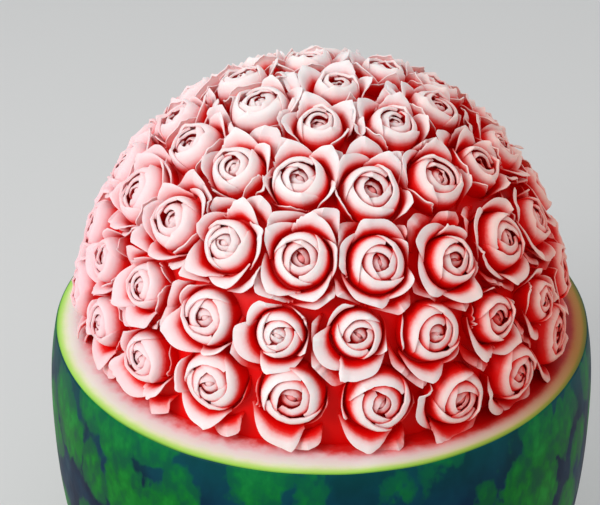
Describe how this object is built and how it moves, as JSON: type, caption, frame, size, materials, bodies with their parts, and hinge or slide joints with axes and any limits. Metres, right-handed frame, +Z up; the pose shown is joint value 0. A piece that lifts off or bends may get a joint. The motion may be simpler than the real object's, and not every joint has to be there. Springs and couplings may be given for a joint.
{
  "type": "carved watermelon",
  "caption": "Upright oval watermelon with its upper half peeled and carved into a dome of roses that stands in the lower rind as in a basket; it rests on a small flat cut.",
  "frame": {"origin": "middle of the flat cut that the melon stands on", "axes": "+Z up along the melon's length, front towards -Y"},
  "size_m": [0.269, 0.269, 0.3256],
  "materials": {
    "watermelon": "moist cut fruit flesh, pale pink at the petals' edges and red in the cuts, over a waxy green rind"
  },
  "bodies": {
    "root": {"carved_watermelon": "watermelon"}
  },
  "joints": []
}
